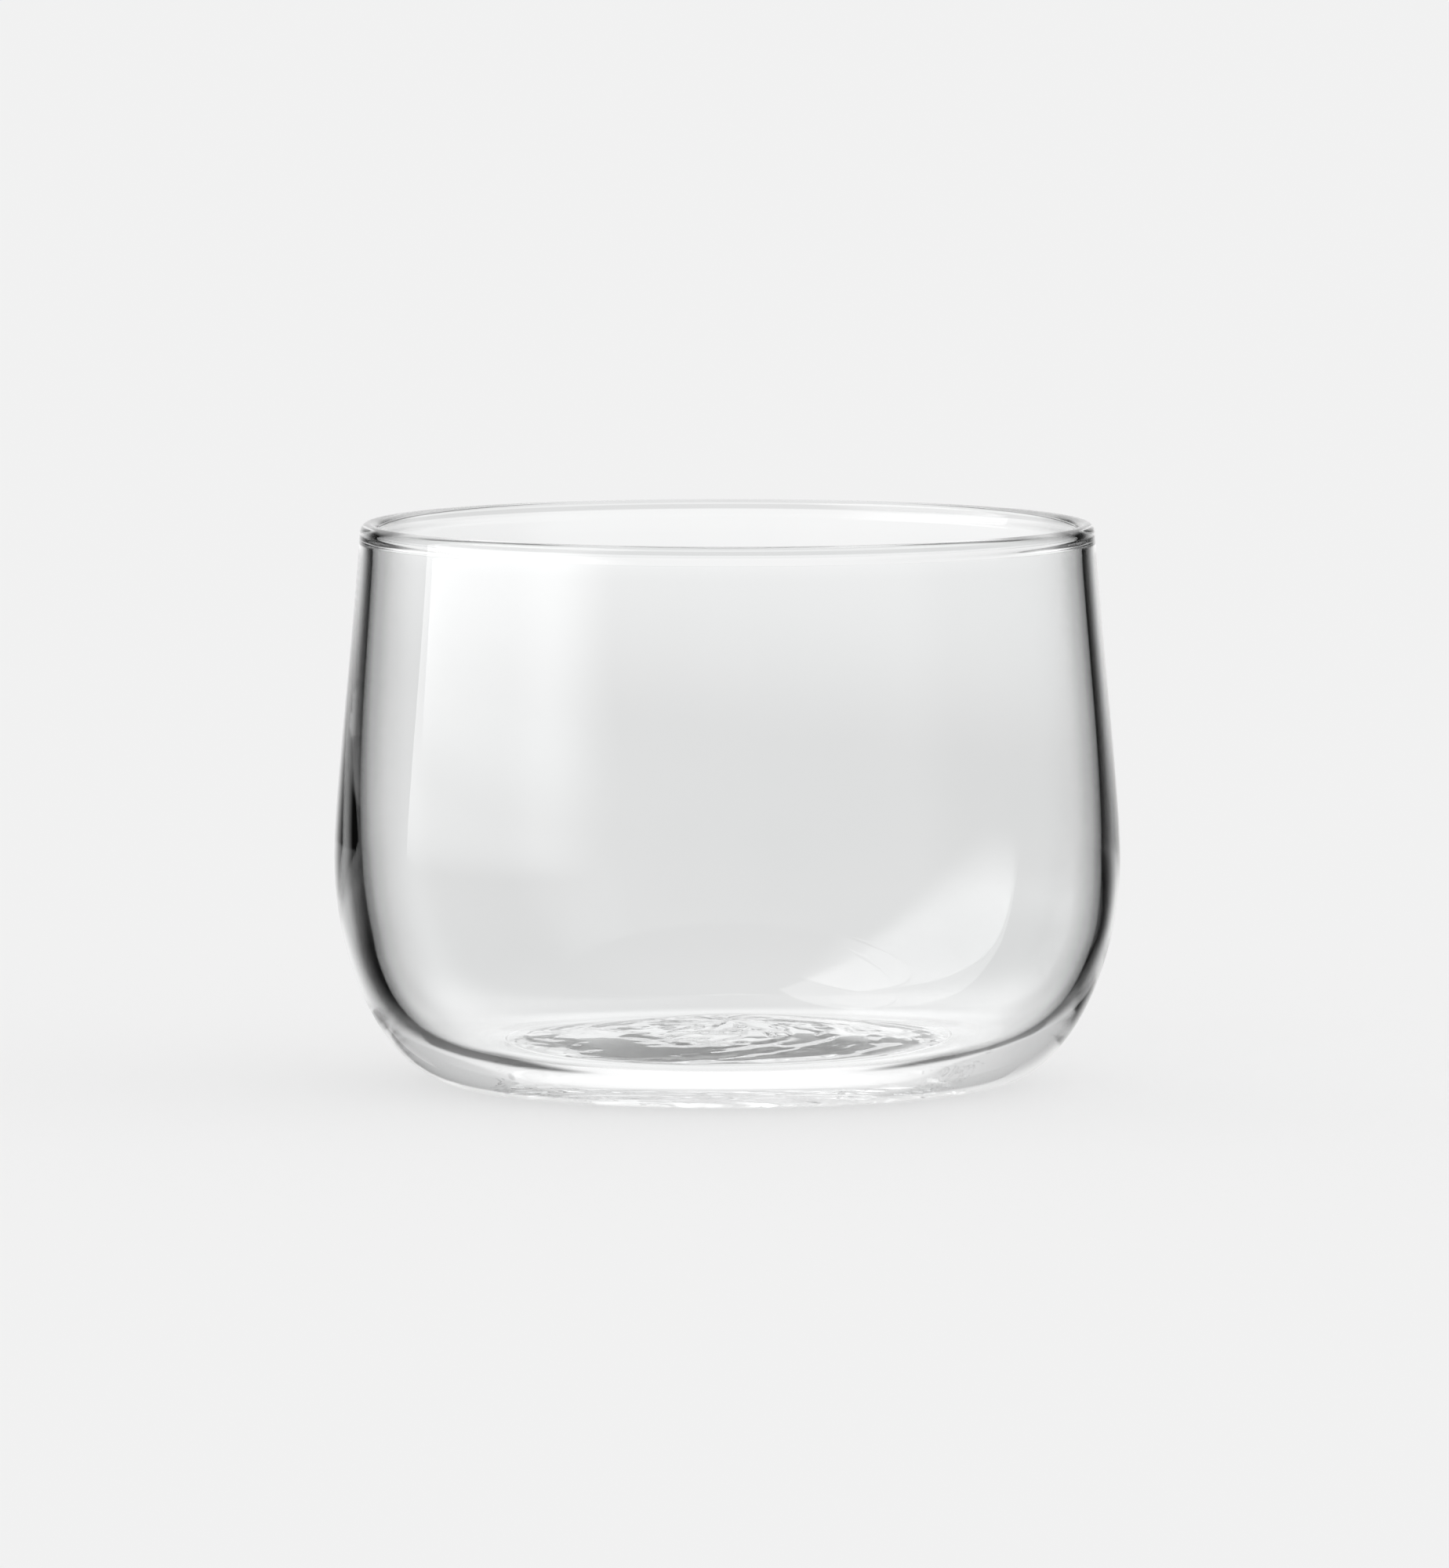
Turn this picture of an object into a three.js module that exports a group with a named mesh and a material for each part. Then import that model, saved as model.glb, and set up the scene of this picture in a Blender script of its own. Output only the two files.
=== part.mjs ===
// Blown espresso glass: one clear vessel with a fire-polished rim, a soft belly and a kicked-up base.
// Millimetres, +Z up, origin on the table plane at the centre of the standing ring.

import * as THREE from "three";

// Outer form
const HEIGHT = 50; // table to the top of the rim
const RIM_RADIUS = 32.7; // outside of the rim bead
const RIM_LEAN = 0.06; // slope of the wall at the rim, still leaning in
const BELLY_RADIUS = 35; // widest point of the glass
const BELLY_HEIGHT = 20.3; // height of the widest point
const FOOT_RADIUS = 23; // outer edge of the standing ring

// Pull: how far a curve runs straight on from its end before it turns
const HEEL_FOOT_PULL = 7.4; // outwards along the table
const HEEL_BELLY_PULL = 9.8; // down from the belly
const SIDE_BELLY_PULL = 5.6; // up from the belly
const SIDE_RIM_PULL = 9.3; // down from the rim

// Glass thickness
const BEAD_DIAMETER = 1.6; // fire-polished roll along the rim
const BEAD_NECK = 1.2; // height over which the bead thins into the wall
const WALL_AT_RIM = 1.2; // just under the bead
const WALL_AT_BELLY = 1.9; // at the cavity's widest point
const BASE_AT_MOAT = 2.75; // table to the lowest ring of the drinking floor
const BASE_AT_CROWN = 3; // through the kick, on the axis

// Kick: the underside is pushed up, so that the glass stands on a ring
const RING_WIDTH = 3; // flat width of the standing ring
const KICK_RISE = 2.4; // underside above the table, on the axis
const KICK_CROWN_PULL = 8; // outwards from the axis
const KICK_RING_PULL = 5; // inwards from the ring

// Cavity
const CAVITY_BELLY_LIFT = 1.8; // its widest point above that of the outside
const CAVITY_RIM_PULL = 8.2; // down from the bead's neck
const CAVITY_SIDE_PULL = 7.6; // up from its widest point
const CAVITY_HEEL_PULL = 9.7; // down from its widest point
const MOAT_INSET = 0.7; // its lowest ring, in from the foot's edge
const MOAT_HEEL_PULL = 7.9; // outwards from the moat
const MOAT_CROWN_PULL = 5; // inwards from the moat
const FLOOR_CROWN_PULL = 7; // outwards from the axis
const CAVITY_DRIFT = 0.75; // how far the cavity has wandered off the axis at the table plane

// Facets
const SEGMENTS = 64; // round the axis
const CURVE_STEPS = 8; // along each curve of the profile, and along each quarter of the bead

const BEAD_RADIUS = BEAD_DIAMETER / 2;
const BEAD_HEIGHT = HEIGHT - BEAD_RADIUS;

// Underside and outer wall: from the axis over the kick, the standing ring and the heel up to the bead.
function outsideProfile() {
  const ringInner = FOOT_RADIUS - RING_WIDTH;
  const heelStart = FOOT_RADIUS + HEEL_FOOT_PULL;
  const heelEnd = BELLY_HEIGHT - HEEL_BELLY_PULL;
  const sideStart = BELLY_HEIGHT + SIDE_BELLY_PULL;
  const sideEnd = BEAD_HEIGHT - SIDE_RIM_PULL;
  const sideEndRadius = RIM_RADIUS + SIDE_RIM_PULL * RIM_LEAN;
  return new THREE.Path()
    .moveTo(0, KICK_RISE)
    .bezierCurveTo(KICK_CROWN_PULL, KICK_RISE, ringInner - KICK_RING_PULL, 0, ringInner, 0)
    .lineTo(FOOT_RADIUS, 0)
    .bezierCurveTo(heelStart, 0, BELLY_RADIUS, heelEnd, BELLY_RADIUS, BELLY_HEIGHT)
    .bezierCurveTo(BELLY_RADIUS, sideStart, sideEndRadius, sideEnd, RIM_RADIUS, BEAD_HEIGHT);
}

// Rim and cavity: over the bead, down the inner wall, round the heel and over the moat to the crown.
function insideProfile() {
  const beadInner = RIM_RADIUS - BEAD_DIAMETER;
  const neckRadius = RIM_RADIUS - WALL_AT_RIM;
  const neckHeight = BEAD_HEIGHT - BEAD_NECK;
  const neckMiddle = BEAD_HEIGHT - BEAD_NECK / 2;
  const neckEnd = neckRadius - (BEAD_NECK / 2) * RIM_LEAN;
  const sideStart = neckHeight - CAVITY_RIM_PULL;
  const sideStartRadius = neckRadius + CAVITY_RIM_PULL * RIM_LEAN;
  const bellyRadius = BELLY_RADIUS - WALL_AT_BELLY;
  const bellyHeight = BELLY_HEIGHT + CAVITY_BELLY_LIFT;
  const sideEnd = bellyHeight + CAVITY_SIDE_PULL;
  const heelStart = bellyHeight - CAVITY_HEEL_PULL;
  const moatRadius = FOOT_RADIUS - MOAT_INSET;
  const heelEnd = moatRadius + MOAT_HEEL_PULL;
  const floorStart = moatRadius - MOAT_CROWN_PULL;
  const crownHeight = KICK_RISE + BASE_AT_CROWN;
  return new THREE.Path()
    .absarc(RIM_RADIUS - BEAD_RADIUS, BEAD_HEIGHT, BEAD_RADIUS, 0, Math.PI)
    .bezierCurveTo(beadInner, neckMiddle, neckEnd, neckMiddle, neckRadius, neckHeight)
    .bezierCurveTo(sideStartRadius, sideStart, bellyRadius, sideEnd, bellyRadius, bellyHeight)
    .bezierCurveTo(bellyRadius, heelStart, heelEnd, BASE_AT_MOAT, moatRadius, BASE_AT_MOAT)
    .bezierCurveTo(floorStart, BASE_AT_MOAT, FLOOR_CROWN_PULL, crownHeight, 0, crownHeight);
}

// The cavity wanders off the axis towards the base, as the bubble does in a blown gather.
function driftCavity(geometry, profileLength, firstInside) {
  const position = geometry.getAttribute("position");
  for (let i = 0; i < position.count; i += 1) {
    if (i % profileLength >= firstInside) {
      const depth = 1 - position.getZ(i) / HEIGHT;
      position.setX(i, position.getX(i) + CAVITY_DRIFT * depth ** 2);
    }
  }
}

// The glass as one closed revolve of both profiles.
function glassGeometry() {
  const outside = outsideProfile().getPoints(CURVE_STEPS).slice(0, -1);
  const inside = insideProfile().getPoints(CURVE_STEPS);
  const profile = [...outside, ...inside];
  const geometry = new THREE.LatheGeometry(profile, SEGMENTS).rotateX(Math.PI / 2);
  driftCavity(geometry, profile.length, outside.length);
  return geometry;
}

const clearGlass = new THREE.MeshStandardMaterial({
  color: 0xf2f5f5,
  roughness: 0.02,
  metalness: 0,
  transparent: true,
  opacity: 0.25,
});

const glassBody = new THREE.Mesh(glassGeometry(), clearGlass);
glassBody.name = "glass_body";

const espressoGlass = new THREE.Group();
espressoGlass.add(glassBody);

export default espressoGlass;
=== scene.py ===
"""Espresso glass: the fine surface of one piece of blown glass, its material and a plain pale stage."""

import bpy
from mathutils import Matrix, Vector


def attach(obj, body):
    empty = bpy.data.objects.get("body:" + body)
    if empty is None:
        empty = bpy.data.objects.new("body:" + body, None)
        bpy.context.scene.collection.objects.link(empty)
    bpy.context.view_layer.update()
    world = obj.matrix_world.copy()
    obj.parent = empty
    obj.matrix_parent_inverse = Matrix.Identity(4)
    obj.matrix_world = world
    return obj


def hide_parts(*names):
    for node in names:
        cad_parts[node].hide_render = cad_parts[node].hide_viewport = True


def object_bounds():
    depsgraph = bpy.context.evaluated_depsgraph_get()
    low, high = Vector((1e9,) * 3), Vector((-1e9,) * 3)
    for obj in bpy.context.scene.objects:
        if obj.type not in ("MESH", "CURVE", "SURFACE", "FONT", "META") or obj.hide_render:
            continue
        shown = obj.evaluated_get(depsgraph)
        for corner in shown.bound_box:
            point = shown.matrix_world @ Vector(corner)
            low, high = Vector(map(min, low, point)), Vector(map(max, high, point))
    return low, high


bl_info = {
    "name": "Espresso Glass",
    "version": (1, 0, 0),
    "blender": (4, 5, 0),
    "location": "3D View > Sidebar > Glass",
    "description": "Builds a blown espresso glass and the pale stage that it stands on",
    "category": "Object",
}

import math

import bmesh
import bpy
from bpy.props import FloatProperty, FloatVectorProperty, IntProperty, PointerProperty
from mathutils import Matrix, Vector, noise
from mathutils.geometry import interpolate_bezier

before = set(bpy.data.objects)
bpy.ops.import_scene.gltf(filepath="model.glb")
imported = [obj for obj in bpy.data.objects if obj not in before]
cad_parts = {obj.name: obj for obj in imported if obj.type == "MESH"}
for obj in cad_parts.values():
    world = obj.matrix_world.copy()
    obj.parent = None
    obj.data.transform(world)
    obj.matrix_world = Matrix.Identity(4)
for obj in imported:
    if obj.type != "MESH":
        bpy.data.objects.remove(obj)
CAD_LOW, CAD_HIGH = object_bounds()

RIGHT_ANGLE = math.radians(90)
EASED = {"interpolation_type": "SMOOTHSTEP"}  # setting of a Map Range node
DEPTH_MARGIN = 0.5  # tells one ray depth from the next

# Mesh of the glass
SEAM = 1e-7  # points nearer to each other than this become one
RING_EDGE = 1e-6  # keeps the wrinkles off the inner edge of the standing ring
UNDERSIDE_FINENESS = 4  # facets along the wrinkled underside for one along another curve

# Chill wrinkles: noise read round a cylinder, so that they run round the axis
WRINKLE_GIRTH = 1.7  # the cylinder's radius in the noise, where more gives shorter wrinkles
WRINKLE_LAYERS = 3
WRINKLE_FINENESS = 2.2  # of each layer against the one before
WRINKLE_FALL = 0.9  # how fast the finer layers weaken
WRINKLE_GAIN = 3  # the waves are raised so much and cut off flat, which leaves flakes
WRINKLE_MIDDLE = 0.35  # share of their height on the axis
WRINKLE_GROWN = 0.6  # share of their radius from which they have their full height

# Cords in the glass
CORD_SPACING = 0.01  # from one cord to the next, up the wall
CORD_STRETCH = 0.35  # how fast the pattern changes along a cord, against across it

# Room that the glass sees. Rise is the sine of the angle above the horizon, and turn is the angle to either
# side of straight behind. Other places are parts of the direction from the glass: across to the right, or
# away from the camera. A patch starts, is full from its second value to its third, and ends. A tone of 1 is
# white.
FLAG_TURN = (0.118, 0.44, 0.7, 1.24)
FLAG_RISE = (-0.87, -0.49, 0.16, 0.46)
FLAG_FOOT_TURN = (0.19, 0.3, 0.5, 0.7)  # their feet reach further in
FLAG_FOOT_RISE = (-0.78, -0.68, -0.45, -0.38)
FLAG_TONE = 0.004
SHADE_STRIP_ACROSS = (-0.34, -0.28, -0.16, -0.1)  # painted shade: a dark band on the table, its contact shadow by the glass
SHADE_STRIP_RISE = (-0.72, -0.62, -0.3, -0.2)
SHADE_STRIP_DEPTH = 2  # ray depth of light that has met one surface
BACK_TONE = 0.955  # wall straight behind
BACK_SIDE_TONE = 1.66
BACK_SIDE_TURN = {"From Min": 0.0, "From Max": 0.665}
DIP_TONE = -0.175  # added just under the horizon
DIP_RISE = (-0.42, -0.32, -0.107, -0.064)
DIM_TONE = 0.4  # past the flags
DIM_SLOPE = -0.25  # from left to right
DIM_TURN = {"From Min": 0.7, "From Max": 1.24}
TABLE_RISE = {"From Min": -0.35, "From Max": -0.65}
TABLE_TONE = 0.75  # straight through the glass
TABLE_MIRRORED_TONE = 1.1
NEAR_TONE = 0.78  # the room's end behind the camera
NEAR_EDGE = {"From Min": -0.2, "From Max": -0.6}

# Light that has run round inside the heel
HEEL_DEPTH = 11  # ray depth past which light has done so
HEEL_TONES = {"To Min": 0.72, "To Max": 0.15}  # all round, and low at the right
HEEL_RIGHT = {"From Min": 0.3, "From Max": 0.45}
HEEL_LOW = {"From Min": -0.12, "From Max": -0.16}
HEEL_AHEAD = {"From Min": -0.96, "From Max": -0.88}  # dark straight towards the camera

# Softbox, in metres above the table and along its cloth, away from the camera
CLOTH_FOOT_FULL = 0.045  # where the foot's fade ends
CLOTH_EDGE = {"From Min": -0.57, "From Max": -0.19}  # fade on the camera's side
CLOTH_DEPTH = 12  # ray depth from which light in the heel no longer meets it
SWEEP_DEPTH = 4  # ray depth past which light was mirrored in the back of the cavity
SWEEP_START = 0.157  # place along the cloth from which its foot sweeps up
SWEEP_FOOT = 0.03  # height of the foot there
SWEEP_SLOPE = 0.25  # how steeply it leaves there
SWEEP_CURVE = 1.6  # how fast it steepens towards the camera
SWEEP_FADE = {"From Min": -0.08, "From Max": 0.1}

# Painted shade under the kick: dark slats for the table's shade beneath the glass
SHADE_RADII = (0.0055, 0.0075, 0.0172, 0.019)  # of its dark ring: start, full, fade and end
SHADE_DEPTH = 4  # ray depth under the kick, straight through the front wall and the base
SHADE_PITCH = 0.0003
SHADE_HEIGHT = 0.00013

# Floor and render
FLOOR_SIZE = 12
FLOOR_DROP = 0.0001  # under the standing ring
PAPER_GLOW = 0.7  # share of the paper's colour that takes no shadow
LIGHT_BOUNCES = 64


def length(name, default, description):
    """A size in metres that a user may change."""
    return FloatProperty(name=name, description=description, default=default, unit="LENGTH", precision=5)


def linear(hex_colour):
    """An sRGB hex colour as linear red, green and blue."""
    channels = [int(hex_colour[i : i + 2], 16) / 255 for i in (1, 3, 5)]
    return [c / 12.92 if c <= 0.04045 else ((c + 0.055) / 1.055) ** 2.4 for c in channels]


class GlassSettings(bpy.types.PropertyGroup):
    """Sizes of the glass. Pull is how far a curve runs straight on from its end before it turns."""

    height: length("Height", CAD_HIGH.z, "Table to the top of the rim")
    belly_radius: length("Belly radius", CAD_HIGH.x, "Widest point of the glass")
    belly_height: length("Belly height", 0.0203, "Height of the widest point")
    rim_radius: length("Rim radius", 0.0327, "Outside of the rim bead")
    rim_lean: FloatProperty(name="Rim lean", description="Slope of the wall at the rim", default=0.06)
    foot_radius: length("Foot radius", 0.023, "Outer edge of the standing ring")
    heel_foot_pull: length("Heel pull at the foot", 0.0074, "Outwards along the table")
    heel_belly_pull: length("Heel pull at the belly", 0.0098, "Down from the belly")
    side_belly_pull: length("Side pull at the belly", 0.0056, "Up from the belly")
    side_rim_pull: length("Side pull at the rim", 0.0093, "Down from the rim")
    bead: length("Rim bead", 0.0016, "Diameter of the fire-polished roll along the rim")
    bead_neck: length("Bead neck", 0.0012, "Height over which the bead thins into the wall")
    wall_at_rim: length("Wall at the rim", 0.0012, "Thickness just under the bead")
    wall_at_belly: length("Wall at the belly", 0.0019, "Thickness at the cavity's widest point")
    base_at_moat: length("Base at the moat", 0.00275, "Table to the lowest ring of the floor")
    base_at_crown: length("Base at the crown", 0.003, "Thickness through the kick, on the axis")
    ring_width: length("Ring width", 0.003, "Flat width of the standing ring")
    kick_rise: length("Kick rise", 0.0024, "Underside above the table, on the axis")
    kick_crown_pull: length("Kick pull at the crown", 0.008, "Outwards from the axis")
    kick_ring_pull: length("Kick pull at the ring", 0.005, "Inwards from the ring")
    cavity_belly_lift: length("Cavity belly lift", 0.0018, "Its widest point above that of the outside")
    cavity_rim_pull: length("Cavity pull at the rim", 0.0082, "Down from the bead's neck")
    cavity_side_pull: length("Cavity side pull", 0.0076, "Up from its widest point")
    cavity_heel_pull: length("Cavity heel pull", 0.0097, "Down from its widest point")
    moat_inset: length("Moat inset", 0.0007, "The floor's lowest ring, in from the foot's edge")
    moat_heel_pull: length("Moat pull to the heel", 0.0079, "Outwards from the moat")
    moat_crown_pull: length("Moat pull to the crown", 0.005, "Inwards from the moat")
    floor_crown_pull: length("Floor pull at the crown", 0.007, "Outwards from the axis")
    cavity_drift: length("Cavity drift", 0.00075, "How far the cavity is off the axis at the table")
    drift_start: length("Drift start", 0.014, "Height under which the drift eases off towards the floor")
    ripple: length("Ripple", 0.00026, "Height of the chill wrinkles under the kick")
    ripple_pitch: length("Ripple pitch", 0.005, "From one wrinkle to the next, outwards")
    ripple_radius: length("Ripple radius", 0.0195, "Where the wrinkles have died out")
    ripple_twist: FloatProperty(
        name="Ripple twist", description="Turn of the wrinkles in radians per metre", default=60
    )
    segments: IntProperty(name="Segments", description="Facets round the axis", default=256, min=16)
    steps: IntProperty(name="Steps", description="Facets along each curve of the outline", default=24, min=4)


class StageSettings(bpy.types.PropertyGroup):
    """Light, floor and camera."""

    backdrop: FloatVectorProperty(
        name="Backdrop", description="Colour of the floor and backdrop", subtype="COLOR",
        default=linear("#F1F1F1"),
    )
    light: FloatProperty(name="Light", description="Even light on the floor", default=1.01)
    room_turn: FloatProperty(
        name="Room turn", description="How the walls are turned", subtype="ANGLE", default=-0.015
    )
    softbox_side: FloatProperty(
        name="Softbox side", description="Its angle to the left of the camera", subtype="ANGLE",
        default=math.radians(77),
    )
    softbox_distance: length("Softbox distance", 0.6, "From the glass's axis")
    softbox_shift: length("Softbox shift", -0.32, "Sideways, negative towards the camera")
    softbox_width: length("Softbox width", 1.3, "Across")
    softbox_height: length("Softbox height", 1.6, "From its foot to its top")
    softbox_foot: length("Softbox foot", -0.03, "Its lower edge above the table")
    softbox_glow: FloatProperty(name="Softbox glow", description="Brightness", default=2.76)
    camera_distance: length("Camera distance", 1.5, "From the camera to the middle of the glass")
    camera_rise: FloatProperty(
        name="Camera rise", description="Camera's angle above the horizon", subtype="ANGLE", default=0.082
    )
    camera_aim: FloatVectorProperty(
        name="Camera aim", description="Middle of the picture", subtype="TRANSLATION", unit="LENGTH",
        default=(-0.00025, 0, 0.02665), precision=5,
    )
    lens: FloatProperty(name="Lens", description="Focal length", default=386.8, unit="CAMERA")


def outline_curves(glass):
    """Each curve of the outline as start, two handles and end, from under the crown round to the floor."""
    bead_radius = glass.bead / 2
    bead_height = glass.height - bead_radius
    ring_inner = glass.foot_radius - glass.ring_width
    neck = Vector((glass.rim_radius - glass.wall_at_rim, bead_height - glass.bead_neck))
    cavity = Vector((glass.belly_radius - glass.wall_at_belly, glass.belly_height + glass.cavity_belly_lift))
    moat = Vector((glass.foot_radius - glass.moat_inset, glass.base_at_moat))
    crown = glass.kick_rise + glass.base_at_crown
    quarter = bead_radius * 4 / 3 * math.tan(math.pi / 8)
    bead_centre = glass.rim_radius - bead_radius
    bead_inner = glass.rim_radius - glass.bead
    neck_pull = glass.bead_neck / 2
    outside = [
        [(0, glass.kick_rise), (glass.kick_crown_pull, glass.kick_rise),
         (ring_inner - glass.kick_ring_pull, 0), (ring_inner, 0)],
        [(ring_inner, 0), (ring_inner + glass.ring_width / 3, 0),
         (glass.foot_radius - glass.ring_width / 3, 0), (glass.foot_radius, 0)],
        [(glass.foot_radius, 0), (glass.foot_radius + glass.heel_foot_pull, 0),
         (glass.belly_radius, glass.belly_height - glass.heel_belly_pull),
         (glass.belly_radius, glass.belly_height)],
        [(glass.belly_radius, glass.belly_height),
         (glass.belly_radius, glass.belly_height + glass.side_belly_pull),
         (glass.rim_radius + glass.side_rim_pull * glass.rim_lean, bead_height - glass.side_rim_pull),
         (glass.rim_radius, bead_height)],
    ]
    inside = [
        [(glass.rim_radius, bead_height), (glass.rim_radius, bead_height + quarter),
         (bead_centre + quarter, glass.height), (bead_centre, glass.height)],
        [(bead_centre, glass.height), (bead_centre - quarter, glass.height),
         (bead_inner, bead_height + quarter), (bead_inner, bead_height)],
        [(bead_inner, bead_height), (bead_inner, bead_height - neck_pull),
         (neck.x - neck_pull * glass.rim_lean, neck.y + neck_pull), neck],
        [neck, (neck.x + glass.cavity_rim_pull * glass.rim_lean, neck.y - glass.cavity_rim_pull),
         (cavity.x, cavity.y + glass.cavity_side_pull), cavity],
        [cavity, (cavity.x, cavity.y - glass.cavity_heel_pull),
         (moat.x + glass.moat_heel_pull, moat.y), moat],
        [moat, (moat.x - glass.moat_crown_pull, moat.y), (glass.floor_crown_pull, crown), (0, crown)],
    ]
    return outside, inside


def add_node(tree, kind, sockets=None, **settings):
    """Adds a node with its settings. A socket is given a value, an output, or a node, whose first output in
    use is then linked."""
    node = tree.nodes.new(kind)
    for name, value in settings.items():
        setattr(node, name, value)
    for name, value in (sockets or {}).items():
        if isinstance(value, bpy.types.Node):
            value = next(output for output in value.outputs if output.enabled)
        if isinstance(value, bpy.types.NodeSocket):
            tree.links.new(value, node.inputs[name])
        else:
            node.inputs[name].default_value = value
    return node


def blown_clear_glass():
    """Clear blown glass, fire-polished: smooth, bright and colourless to the eye. The cords of its gather
    tint the light by a hair."""
    material = bpy.data.materials.new("blown_clear_glass")
    material.use_nodes = True
    tree = material.node_tree
    shader = tree.nodes["Principled BSDF"]
    shader.inputs["Roughness"].default_value = 0.0
    shader.inputs["IOR"].default_value = 1.47
    shader.inputs["Transmission Weight"].default_value = 1.0
    coords = add_node(tree, "ShaderNodeTexCoord")
    # Cords run round the wall, so the pattern is drawn out sideways
    across = 1 / CORD_SPACING
    along = CORD_STRETCH / CORD_SPACING
    drawn = add_node(
        tree, "ShaderNodeVectorMath", {0: coords.outputs["Object"], 1: (along, along, across)},
        operation="MULTIPLY",
    )
    cords = add_node(tree, "ShaderNodeTexNoise", {"Vector": drawn, "Scale": 1.0, "Detail": 1.0})
    tint = add_node(
        tree, "ShaderNodeMix", {0: cords, 6: (*linear("#FBFCFC"), 1), 7: (*linear("#FEFEFE"), 1)},
        data_type="RGBA",
    )
    tree.links.new(tint.outputs[2], shader.inputs["Base Color"])
    return material


def add_object(bm, name, material):
    """Turns a bmesh into an object of the scene."""
    mesh = bpy.data.meshes.new(name)
    bm.to_mesh(mesh)
    bm.free()
    mesh.materials.append(material)
    made = bpy.data.objects.new(name, mesh)
    bpy.context.scene.collection.objects.link(made)
    return made


def finish_piece(bm, name, material):
    """Closes seams and poles, turns the faces outwards and makes the mesh an object on the CAD's body."""
    bmesh.ops.remove_doubles(bm, verts=bm.verts, dist=SEAM)
    bmesh.ops.recalc_face_normals(bm, faces=bm.faces)
    for face in bm.faces:
        face.smooth = True
    piece = add_object(bm, name, material)
    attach(piece, "root")
    return piece


def wrinkled(point, glass):
    """Height of the underside with its chill wrinkles, which run round the axis and die out at the ring."""
    radius = point.xy.length
    turn = math.atan2(point.y, point.x) + radius * glass.ripple_twist
    place = Vector((WRINKLE_GIRTH * math.cos(turn), WRINKLE_GIRTH * math.sin(turn), 0))
    place.z = radius / glass.ripple_pitch
    wave = noise.fractal(
        place, WRINKLE_FALL, WRINKLE_FINENESS, WRINKLE_LAYERS, noise_basis="PERLIN_ORIGINAL"
    )
    flake = max(-1, min(1, wave * WRINKLE_GAIN))
    fade = glass.ripple_pitch / 2
    outer = max(0, min(1, (glass.ripple_radius - radius) / fade))
    grown = min(1, radius / (WRINKLE_GROWN * glass.ripple_radius))
    inner = WRINKLE_MIDDLE + (1 - WRINKLE_MIDDLE) * grown
    clearance = glass.ripple / 4
    return max(clearance, point.z + outer * inner * glass.ripple * flake)


class GLASS_OT_body(bpy.types.Operator):
    """Spins the glass from its outline, lets its cavity drift and hides the plain solid"""

    bl_idname = "glass.body"
    bl_label = "Blown glass"

    def execute(self, context):
        glass = context.scene.glass_settings
        bm = bmesh.new()
        in_cavity = bm.verts.layers.int.new("in_cavity")
        outside, inside = outline_curves(glass)
        last = bm.verts.new((0, 0, glass.kick_rise))
        for curve in outside + inside:
            ends_and_handles = [Vector(p) for p in curve]
            steps = glass.steps * UNDERSIDE_FINENESS if curve is outside[0] else glass.steps
            for point in interpolate_bezier(*ends_and_handles, steps + 1)[1:]:
                vert = bm.verts.new((point.x, 0, point.y))
                vert[in_cavity] = curve in inside
                bm.edges.new((last, vert))
                last = vert
        bmesh.ops.spin(
            bm, geom=bm.verts[:] + bm.edges[:], cent=(0, 0, 0), axis=(0, 0, 1), angle=math.tau,
            steps=glass.segments, use_merge=True,
        )
        wrinkle_end = glass.foot_radius - glass.ring_width - RING_EDGE
        for vert in bm.verts:
            if vert[in_cavity]:
                depth = 1 - vert.co.z / glass.height
                vert.co.x += glass.cavity_drift * depth**2 * min(1, vert.co.z / glass.drift_start)
            elif vert.co.xy.length < wrinkle_end:
                vert.co.z = wrinkled(vert.co, glass)
        piece = finish_piece(bm, "blown_glass", blown_clear_glass())
        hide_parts("glass_body")
        return {"FINISHED"}


def band(tree, value, start, full, fade, end):
    """1 where the value lies between full and fade, easing to 0 at start and end."""
    rise = add_node(
        tree, "ShaderNodeMapRange", {"Value": value, "From Min": start, "From Max": full}, **EASED
    )
    fall = add_node(
        tree, "ShaderNodeMapRange",
        {"Value": value, "From Min": fade, "From Max": end, "To Min": 1.0, "To Max": 0.0}, **EASED
    )
    return add_node(tree, "ShaderNodeMath", {0: rise, 1: fall}, operation="MULTIPLY")


def patch(tree, across, width, rise, height):
    """1 inside a soft-edged patch of the room, from its bands across and upwards."""
    sides = band(tree, across, *width)
    ends = band(tree, rise, *height)
    return add_node(tree, "ShaderNodeMath", {0: sides, 1: ends}, operation="MULTIPLY")


def room_walls(tree, axis, turn):
    """Brightness of the walls: lit from the sides, and dim past the flags."""
    # The wall behind is a little darker just under the horizon
    dip = band(tree, axis.outputs["Z"], *DIP_RISE)
    middle = add_node(tree, "ShaderNodeMath", {0: dip, 1: DIP_TONE, 2: BACK_TONE}, operation="MULTIPLY_ADD")
    side = add_node(tree, "ShaderNodeMapRange", {"Value": turn, **BACK_SIDE_TURN}, **EASED)
    back = add_node(tree, "ShaderNodeMix", {0: side, 2: middle, 3: BACK_SIDE_TONE}, data_type="FLOAT")
    # Past the flags the room is lighter on the softbox's side
    dim = add_node(
        tree, "ShaderNodeMath", {0: axis.outputs["X"], 1: DIM_SLOPE, 2: DIM_TONE}, operation="MULTIPLY_ADD"
    )
    beyond = add_node(tree, "ShaderNodeMapRange", {"Value": turn, **DIM_TURN}, **EASED)
    return add_node(tree, "ShaderNodeMix", {0: beyond, 2: back, 3: dim}, data_type="FLOAT")


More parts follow.
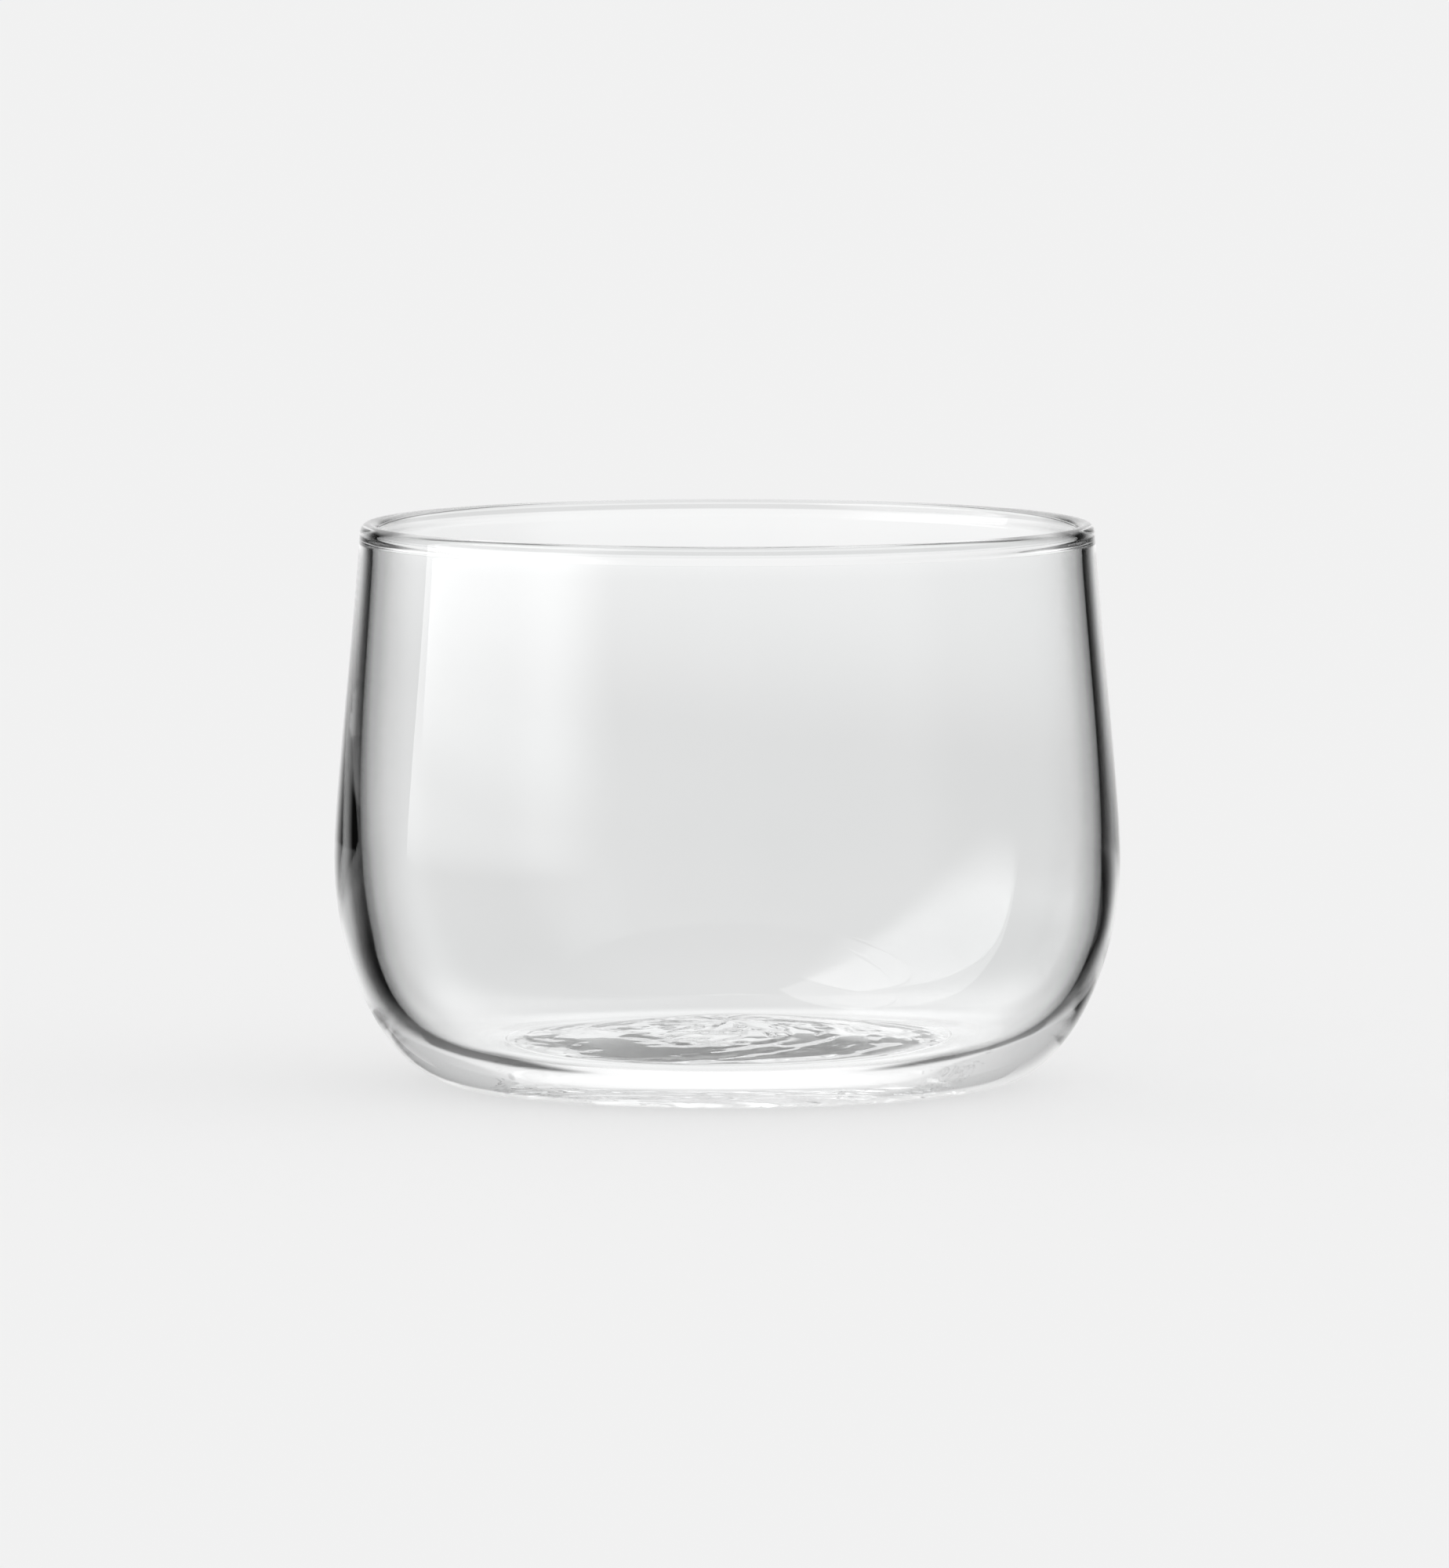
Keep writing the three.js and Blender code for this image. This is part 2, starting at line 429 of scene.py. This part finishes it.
def pale_room(tree, path, axis, walls):
    """Brightness of the walls with the table and the room's near end."""
    table = add_node(tree, "ShaderNodeMapRange", {"Value": axis.outputs["Z"], **TABLE_RISE}, **EASED)
    # Seen straight through, the table is as pale as the floor, and mirrored in the heel it is brighter. In
    # a world, ray depth counts one more than the surfaces that the light has met, so straight through it is
    # odd.
    odd = add_node(tree, "ShaderNodeMath", {0: path.outputs["Ray Depth"], 1: 2}, operation="MODULO")
    tone = add_node(
        tree, "ShaderNodeMath", {0: odd, 1: TABLE_TONE - TABLE_MIRRORED_TONE, 2: TABLE_MIRRORED_TONE},
        operation="MULTIPLY_ADD",
    )
    lower = add_node(tree, "ShaderNodeMix", {0: table, 2: walls, 3: tone}, data_type="FLOAT")
    # Seen from behind, through the glass, the room's near end is pale as well
    near = add_node(tree, "ShaderNodeMapRange", {"Value": axis.outputs["Y"], **NEAR_EDGE}, **EASED)
    through = add_node(
        tree, "ShaderNodeMath", {0: near, 1: path.outputs["Is Transmission Ray"]}, operation="MULTIPLY"
    )
    return add_node(tree, "ShaderNodeMix", {0: through, 2: lower, 3: NEAR_TONE}, data_type="FLOAT")


def dark_places(tree, path, axis, turn):
    """1 on the black flags, and on painted shade: a dark band of the table that only the heel's left flank
    mirrors.
    """
    rise = axis.outputs["Z"]
    tall = patch(tree, turn, FLAG_TURN, rise, FLAG_RISE)
    feet = patch(tree, turn, FLAG_FOOT_TURN, rise, FLAG_FOOT_RISE)
    flags = add_node(tree, "ShaderNodeMath", {0: tall, 1: feet}, operation="MAXIMUM")
    # Painted shade: the table's contact shadow by the glass, seen only in the heel's mirror
    shade_strip = patch(tree, axis.outputs["X"], SHADE_STRIP_ACROSS, rise, SHADE_STRIP_RISE)
    # Only light that has met one surface, and goes on behind the glass
    first = add_node(
        tree, "ShaderNodeMath", {0: path.outputs["Ray Depth"], 1: SHADE_STRIP_DEPTH + DEPTH_MARGIN},
        operation="LESS_THAN",
    )
    behind = add_node(tree, "ShaderNodeMath", {0: axis.outputs["Y"], 1: 0}, operation="GREATER_THAN")
    once = add_node(tree, "ShaderNodeMath", {0: first, 1: behind}, operation="MULTIPLY")
    mirrored = add_node(tree, "ShaderNodeMath", {0: shade_strip, 1: once}, operation="MULTIPLY")
    return add_node(tree, "ShaderNodeMath", {0: flags, 1: mirrored}, operation="MAXIMUM")


def evened_in_heel(tree, path, axis, room):
    """Light that has run round inside the heel comes out evened, and other light shows the room."""
    runs = add_node(
        tree, "ShaderNodeMath", {0: path.outputs["Ray Depth"], 1: HEEL_DEPTH}, operation="GREATER_THAN"
    )
    right = add_node(tree, "ShaderNodeMapRange", {"Value": axis.outputs["X"], **HEEL_RIGHT}, **EASED)
    low = add_node(tree, "ShaderNodeMapRange", {"Value": axis.outputs["Z"], **HEEL_LOW}, **EASED)
    corner = add_node(tree, "ShaderNodeMath", {0: right, 1: low}, operation="MULTIPLY")
    evened = add_node(tree, "ShaderNodeMapRange", {"Value": corner, **HEEL_TONES})
    ahead = add_node(tree, "ShaderNodeMapRange", {"Value": axis.outputs["Y"], **HEEL_AHEAD}, **EASED)
    spread = add_node(tree, "ShaderNodeMath", {0: evened, 1: ahead}, operation="MULTIPLY")
    return add_node(tree, "ShaderNodeMix", {0: runs, 2: room, 3: spread}, data_type="FLOAT")


def pale_studio(stage):
    """World: even light for the floor, the plain backdrop for the eye, and for the glass a pale room with
    black flags, which draw the dark lines along its walls."""
    world = bpy.data.worlds.new("pale_studio")
    world.use_nodes = True
    tree = world.node_tree
    tree.nodes.clear()
    path = add_node(tree, "ShaderNodeLightPath")
    coords = add_node(tree, "ShaderNodeTexCoord")
    turned = add_node(
        tree, "ShaderNodeVectorRotate", {"Vector": coords.outputs["Generated"], "Angle": stage.room_turn},
        rotation_type="Z_AXIS",
    )
    axis = add_node(tree, "ShaderNodeSeparateXYZ", {"Vector": turned})
    across = add_node(tree, "ShaderNodeMath", {0: axis.outputs["X"]}, operation="ABSOLUTE")
    turn = add_node(tree, "ShaderNodeMath", {0: across, 1: axis.outputs["Y"]}, operation="ARCTAN2")
    walls = room_walls(tree, axis, turn)
    pale = pale_room(tree, path, axis, walls)
    dark = dark_places(tree, path, axis, turn)
    room = add_node(tree, "ShaderNodeMix", {0: dark, 2: pale, 3: FLAG_TONE}, data_type="FLOAT")
    seen = evened_in_heel(tree, path, axis, room)
    lit = add_node(
        tree, "ShaderNodeMix", {0: path.outputs["Is Glossy Ray"], 2: stage.light, 3: seen},
        data_type="FLOAT",
    )
    shown = add_node(
        tree, "ShaderNodeMix", {0: path.outputs["Is Camera Ray"], 6: lit, 7: (*stage.backdrop, 1)},
        data_type="RGBA",
    )
    background = add_node(tree, "ShaderNodeBackground", {"Color": shown})
    add_node(tree, "ShaderNodeOutputWorld", {"Surface": background})
    return world


def bare_material(name):
    """A new material without nodes, and its tree."""
    material = bpy.data.materials.new(name)
    material.use_nodes = True
    material.node_tree.nodes.clear()
    return material, material.node_tree


def pale_paper(stage):
    """Matt pale paper, part lit and part glowing to the eye, so that the shadow on it stays faint."""
    material, tree = bare_material("pale_paper")
    path = add_node(tree, "ShaderNodeLightPath")
    matt = add_node(tree, "ShaderNodeBsdfDiffuse", {"Color": (*stage.backdrop, 1)})
    glow = add_node(tree, "ShaderNodeEmission", {"Color": (*stage.backdrop, 1)})
    share = add_node(
        tree, "ShaderNodeMath", {0: path.outputs["Is Camera Ray"], 1: PAPER_GLOW}, operation="MULTIPLY"
    )
    shown = add_node(tree, "ShaderNodeMixShader", {0: share, 1: matt, 2: glow})
    add_node(tree, "ShaderNodeOutputMaterial", {"Surface": shown})
    return material


def glow_on_cover(tree, cover, colour, strength):
    """Ends a material that glows where the cover is 1 and is clear where it is 0."""
    clear = add_node(tree, "ShaderNodeBsdfTransparent")
    glow = add_node(tree, "ShaderNodeEmission", {"Color": (*linear(colour), 1), "Strength": strength})
    surface = add_node(tree, "ShaderNodeMixShader", {0: cover, 1: clear, 2: glow})
    add_node(tree, "ShaderNodeOutputMaterial", {"Surface": surface})


def along_cloth(stage):
    """Direction along the softbox's cloth, away from the camera."""
    return Vector((-math.cos(stage.softbox_side), math.sin(stage.softbox_side), 0))


def swept_cloth(tree, place, rise):
    """The cloth as the back of the cavity mirrors it: its foot sweeps up towards the camera."""
    nearer = add_node(tree, "ShaderNodeMath", {0: SWEEP_START, 1: place}, operation="SUBTRACT")
    slope = add_node(
        tree, "ShaderNodeMath", {0: nearer, 1: SWEEP_CURVE, 2: SWEEP_SLOPE}, operation="MULTIPLY_ADD"
    )
    foot = add_node(tree, "ShaderNodeMath", {0: nearer, 1: slope, 2: SWEEP_FOOT}, operation="MULTIPLY_ADD")
    above = add_node(tree, "ShaderNodeMath", {0: rise, 1: foot}, operation="SUBTRACT")
    return add_node(tree, "ShaderNodeMapRange", {"Value": above, **SWEEP_FADE}, **EASED)


def softbox_cloth(stage):
    """White front cloth of a softbox, which the glass mirrors. It fades out at its foot and on the camera's
    side."""
    material, tree = bare_material("softbox_glow")
    path = add_node(tree, "ShaderNodeLightPath")
    coords = add_node(tree, "ShaderNodeTexCoord")
    axis = add_node(tree, "ShaderNodeSeparateXYZ", {"Vector": coords.outputs["Object"]})
    place = add_node(
        tree, "ShaderNodeVectorMath", {0: coords.outputs["Object"], 1: along_cloth(stage)},
        operation="DOT_PRODUCT",
    )
    foot = add_node(
        tree, "ShaderNodeMapRange",
        {"Value": axis.outputs["Z"], "From Min": stage.softbox_foot, "From Max": CLOTH_FOOT_FULL}, **EASED
    )
    edge = add_node(tree, "ShaderNodeMapRange", {"Value": place, **CLOTH_EDGE}, **EASED)
    front = add_node(tree, "ShaderNodeMath", {0: foot, 1: edge}, operation="MULTIPLY")
    swept = swept_cloth(tree, place, axis.outputs["Z"])
    far = add_node(
        tree, "ShaderNodeMath", {0: path.outputs["Ray Depth"], 1: SWEEP_DEPTH}, operation="GREATER_THAN"
    )
    shape = add_node(tree, "ShaderNodeMix", {0: far, 2: front, 3: swept}, data_type="FLOAT")
    met = add_node(
        tree, "ShaderNodeMath", {0: path.outputs["Ray Depth"], 1: CLOTH_DEPTH}, operation="LESS_THAN"
    )
    cover = add_node(tree, "ShaderNodeMath", {0: shape, 1: met}, operation="MULTIPLY")
    glow_on_cover(tree, cover, "#FFFFFF", stage.softbox_glow)
    return material


def kick_shade():
    """Painted shade: a dark ring on the slats under the kick, which gives the wrinkles something dark to
    break up.
    """
    material, tree = bare_material("kick_shade")
    path = add_node(tree, "ShaderNodeLightPath")
    coords = add_node(tree, "ShaderNodeTexCoord")
    radius = add_node(tree, "ShaderNodeVectorMath", {0: coords.outputs["Object"]}, operation="LENGTH")
    ring = band(tree, radius, *SHADE_RADII)
    straight = add_node(
        tree, "ShaderNodeMath", {0: path.outputs["Ray Depth"], 1: SHADE_DEPTH, 2: DEPTH_MARGIN},
        operation="COMPARE",
    )
    cover = add_node(tree, "ShaderNodeMath", {0: ring, 1: straight}, operation="MULTIPLY")
    # Painted shade: dark grey on the ring, for light seen straight through the base
    glow_on_cover(tree, cover, "#202020", 1.0)
    return material


def add_cards(name, size, places, material):
    """An object of the stage: flat cards, size wide and high, one at each place."""
    bm = bmesh.new()
    for place in places:
        matrix = place @ Matrix.Diagonal((*size, 1, 1))
        bmesh.ops.create_grid(bm, x_segments=1, y_segments=1, size=0.5, matrix=matrix)
    cards = add_object(bm, name, material)
    return cards


def add_shade_slats():
    """Crossed upright slats just under the table, which carry the painted shade of the kick. They stop
    shallow light and let steep light through, so the base stays clear from above."""
    reach = SHADE_RADII[-1]
    count = round(reach / SHADE_PITCH)
    upright = Matrix.Rotation(RIGHT_ANGLE, 4, "X")
    places = []
    for turn in (0, RIGHT_ANGLE):
        for step in range(-count, count + 1):
            slat = Matrix.Translation((0, step * SHADE_PITCH, -SHADE_HEIGHT / 2)) @ upright
            places.append(Matrix.Rotation(turn, 4, "Z") @ slat)
    return add_cards("kick_shade", (2 * reach, SHADE_HEIGHT), places, kick_shade())


def add_softbox(stage):
    """The softbox's cloth, upright and square to the line from the glass."""
    side = stage.softbox_side
    middle = Vector((-math.sin(side), -math.cos(side), 0)) * stage.softbox_distance
    middle += along_cloth(stage) * stage.softbox_shift
    middle.z = stage.softbox_foot + stage.softbox_height / 2
    turned = Matrix.Rotation(-side, 4, "Z") @ Matrix.Rotation(RIGHT_ANGLE, 4, "X")
    size = (stage.softbox_width, stage.softbox_height)
    return add_cards("softbox", size, [Matrix.Translation(middle) @ turned], softbox_cloth(stage))


def add_camera(scene, stage):
    """The camera, a little above the rim and far off, with a long lens."""
    camera = bpy.data.objects.new("camera", bpy.data.cameras.new("camera"))
    scene.collection.objects.link(camera)
    scene.camera = camera
    camera.data.lens = stage.lens
    back = Vector((0, -math.cos(stage.camera_rise), math.sin(stage.camera_rise)))
    camera.location = Vector(stage.camera_aim) + back * stage.camera_distance
    camera.rotation_euler = back.to_track_quat("Z", "Y").to_euler()


class GLASS_OT_stage(bpy.types.Operator):
    """Makes the pale floor, the soft light and the camera"""

    bl_idname = "glass.stage"
    bl_label = "Stage"

    def execute(self, context):
        scene = context.scene
        stage = scene.stage_settings
        scene.view_settings.view_transform = "Standard"
        # Light runs round inside the heel and the base many times before it leaves
        scene.cycles.max_bounces = LIGHT_BOUNCES
        scene.cycles.transmission_bounces = LIGHT_BOUNCES
        scene.cycles.glossy_bounces = LIGHT_BOUNCES
        scene.cycles.transparent_max_bounces = LIGHT_BOUNCES
        scene.world = pale_studio(stage)
        floor_place = Matrix.Translation((0, 0, -FLOOR_DROP))
        floor = add_cards("floor", (FLOOR_SIZE, FLOOR_SIZE), [floor_place], pale_paper(stage))
        floor.visible_glossy = False
        floor.visible_transmission = False
        for seen_in_glass in (add_shade_slats(), add_softbox(stage)):
            seen_in_glass.visible_camera = False
            seen_in_glass.visible_diffuse = False
            seen_in_glass.visible_shadow = False
        add_camera(scene, stage)
        return {"FINISHED"}


class GLASS_PT_panel(bpy.types.Panel):
    """Lists the pieces and the stage"""

    bl_idname = "GLASS_PT_panel"
    bl_label = "Espresso glass"
    bl_space_type = "VIEW_3D"
    bl_region_type = "UI"
    bl_category = "Glass"

    def draw(self, context):
        for operator in (GLASS_OT_body, GLASS_OT_stage):
            self.layout.operator(operator.bl_idname)


CLASSES = (GlassSettings, StageSettings, GLASS_OT_body, GLASS_OT_stage, GLASS_PT_panel)


def register():
    for cls in CLASSES:
        bpy.utils.register_class(cls)
    bpy.types.Scene.glass_settings = PointerProperty(type=GlassSettings)
    bpy.types.Scene.stage_settings = PointerProperty(type=StageSettings)


def unregister():
    del bpy.types.Scene.stage_settings
    del bpy.types.Scene.glass_settings
    for cls in reversed(CLASSES):
        bpy.utils.unregister_class(cls)


def main():
    register()
    bpy.ops.glass.body()
    bpy.ops.glass.stage()


if __name__ == "__main__":
    main()
